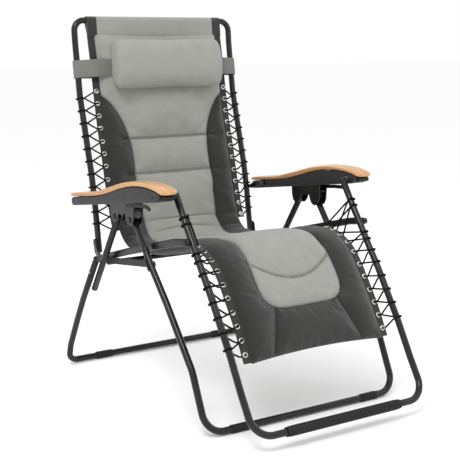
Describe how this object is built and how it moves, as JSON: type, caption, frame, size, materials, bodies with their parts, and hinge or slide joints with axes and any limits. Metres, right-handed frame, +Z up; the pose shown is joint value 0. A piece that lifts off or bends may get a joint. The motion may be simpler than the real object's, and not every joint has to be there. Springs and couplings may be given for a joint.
{
  "type": "zero gravity recliner",
  "caption": "Padded folding recliner with linked back, seat and leg rest, laced fabric, wood-topped armrests and a sliding head pillow.",
  "frame": {"origin": "centre of the bounding box, on the floor", "axes": "+Z up, the sitter faces -Y, X runs from the left arm to the right arm"},
  "size_m": [0.748, 1.0625, 1.1355],
  "materials": {
    "frame_black": "satin black powder coat",
    "casing_grey": "matt dark grey",
    "wood": "lacquered, honey colour",
    "steel": "bright zinc plated",
    "black_plastic": "matt black",
    "rubber_black": "matt black",
    "fabric_grey": "woven, warm light grey",
    "fabric_charcoal": "woven, charcoal",
    "elastic_grey": "ribbed elastic webbing",
    "cord_black": "braided elastic cord"
  },
  "bodies": {
    "rear_legs": {"rear_leg_frame": "frame_black", "rear_strut_left": "frame_black", "rear_strut_right": "frame_black", "rear_leg_rivet_left": "steel", "rear_leg_rivet_right": "steel", "rear_foot_sleeve_left": "rubber_black", "rear_foot_sleeve_right": "rubber_black"},
    "brackets": {"arm_bracket_left": "frame_black", "arm_bracket_right": "frame_black", "front_leg_pin_left": "black_plastic", "front_leg_pin_right": "black_plastic", "rear_leg_pin_left": "black_plastic", "rear_leg_pin_right": "black_plastic"},
    "front_legs": {"front_leg_frame": "frame_black", "front_foot_sleeve_left": "rubber_black", "front_foot_sleeve_right": "rubber_black", "link_clip_left": "black_plastic", "link_clip_right": "black_plastic"},
    "link_bars": {"link_bar_left": "casing_grey", "link_bar_right": "casing_grey"},
    "seat": {"seat_rail_left": "frame_black", "seat_rail_right": "frame_black", "seat_cross_tube": "frame_black", "seat_pad": "fabric_grey"},
    "back_knuckle": {"back_hinge_pin_left": "black_plastic", "back_hinge_pin_right": "black_plastic", "back_bend_pad": "fabric_grey"},
    "back": {"back_frame": "frame_black", "top_bar_sleeve": "fabric_grey", "back_hinge_plate_left": "frame_black", "back_hinge_plate_right": "frame_black", "back_pad": "fabric_grey", "back_lacing_band_left": "fabric_charcoal", "back_lacing_band_right": "fabric_charcoal", "back_cord_left": "cord_black", "back_cord_right": "cord_black"},
    "leg_knuckle": {"leg_rest_hinge_pin_left": "black_plastic", "leg_rest_hinge_pin_right": "black_plastic", "leg_bend_pad": "fabric_grey"},
    "leg_rest": {"leg_rest_frame": "frame_black", "foot_bar_sleeve": "rubber_black", "open_pivot_bolt_left": "steel", "open_pivot_bolt_right": "steel", "leg_pad": "fabric_grey", "leg_lacing_band_left": "fabric_charcoal", "leg_lacing_band_right": "fabric_charcoal", "leg_cord_left": "cord_black", "leg_cord_right": "cord_black"},
    "arm_knuckle": {"arm_pivot_stay_left": "frame_black", "arm_pivot_stay_right": "frame_black"},
    "armrests": {"arm_top_left": "wood", "arm_top_right": "wood", "arm_casing_left": "casing_grey", "arm_casing_right": "casing_grey", "arm_slide_rail_left": "frame_black", "arm_slide_rail_right": "frame_black"},
    "lever_left": {"lock_lever_left": "black_plastic"},
    "lever_right": {"lock_lever_right": "black_plastic"},
    "pillow": {"head_pillow": "fabric_grey", "pillow_strap": "elastic_grey"}
  },
  "joints": [
    {"name": "fold_rear_legs", "type": "hinge", "parent": "rear_legs", "child": "brackets", "pos_m": [0, 0.13875, 0.545], "axis": [1, 0, 0], "range_deg": [-24.1, 0]},
    {"name": "fold_legs", "type": "hinge", "parent": "brackets", "child": "front_legs", "pos_m": [0, 0.04175, 0.548], "axis": [-1, 0, 0], "range_deg": [-77.5, 0]},
    {"name": "fold_link_bars", "type": "hinge", "parent": "front_legs", "child": "link_bars", "pos_m": [0, -0.04525, 0.428], "axis": [1, 0, 0], "range_deg": [-74.1, 0]},
    {"name": "recline_seat", "type": "hinge", "parent": "link_bars", "child": "seat", "pos_m": [0, 0.33275, 0.378], "axis": [-1, 0, 0], "range_deg": [0, 9.4]},
    {"name": "fold_back", "type": "hinge", "parent": "seat", "child": "back_knuckle", "pos_m": [0, 0.33275, 0.378], "axis": [-1, 0, 0], "range_deg": [-52.1, 0]},
    {"name": "recline_back", "type": "hinge", "parent": "back_knuckle", "child": "back", "pos_m": [0, 0.33275, 0.378], "axis": [-1, 0, 0], "range_deg": [0, 20]},
    {"name": "fold_leg_rest", "type": "hinge", "parent": "seat", "child": "leg_knuckle", "pos_m": [0, -0.21525, 0.518], "axis": [-1, 0, 0], "range_deg": [-66.1, 0]},
    {"name": "lift_leg_rest", "type": "hinge", "parent": "leg_knuckle", "child": "leg_rest", "pos_m": [0, -0.21525, 0.518], "axis": [-1, 0, 0], "range_deg": [0, 34.1]},
    {"name": "fold_armrests", "type": "hinge", "parent": "back", "child": "arm_knuckle", "pos_m": [0, 0.38975, 0.556], "axis": [1, 0, 0], "range_deg": [-55.6, 0]},
    {"name": "level_armrests", "type": "hinge", "parent": "arm_knuckle", "child": "armrests", "pos_m": [0, 0.38975, 0.556], "axis": [1, 0, 0], "range_deg": [0, 24.1]},
    {"name": "lock_lever_left_turn", "type": "hinge", "parent": "brackets", "child": "lever_left", "pos_m": [-0.355, 0.04275, 0.591], "axis": [1, 0, 0], "range_deg": [0, 25]},
    {"name": "lock_lever_right_turn", "type": "hinge", "parent": "brackets", "child": "lever_right", "pos_m": [0.355, 0.04275, 0.591], "axis": [1, 0, 0], "range_deg": [0, 25]},
    {"name": "pillow_slide", "type": "slide", "parent": "back", "child": "pillow", "axis": [0, 0.1414, 0.99], "range_m": [-0.025, 0.045]}
  ],
  "couplings": [
    {"joint": "fold_rear_legs", "follows": "fold_legs", "ratio": 0.30968},
    {"joint": "fold_link_bars", "follows": "fold_legs", "ratio": 0.95484},
    {"joint": "fold_back", "follows": "fold_legs", "ratio": 0.67097},
    {"joint": "fold_leg_rest", "follows": "fold_legs", "ratio": 0.85161},
    {"joint": "fold_armrests", "follows": "fold_legs", "ratio": 0.71613},
    {"joint": "recline_seat", "follows": "recline_back", "ratio": 0.465},
    {"joint": "lift_leg_rest", "follows": "recline_back", "ratio": 1.7},
    {"joint": "level_armrests", "follows": "recline_back", "ratio": 1.2}
  ]
}
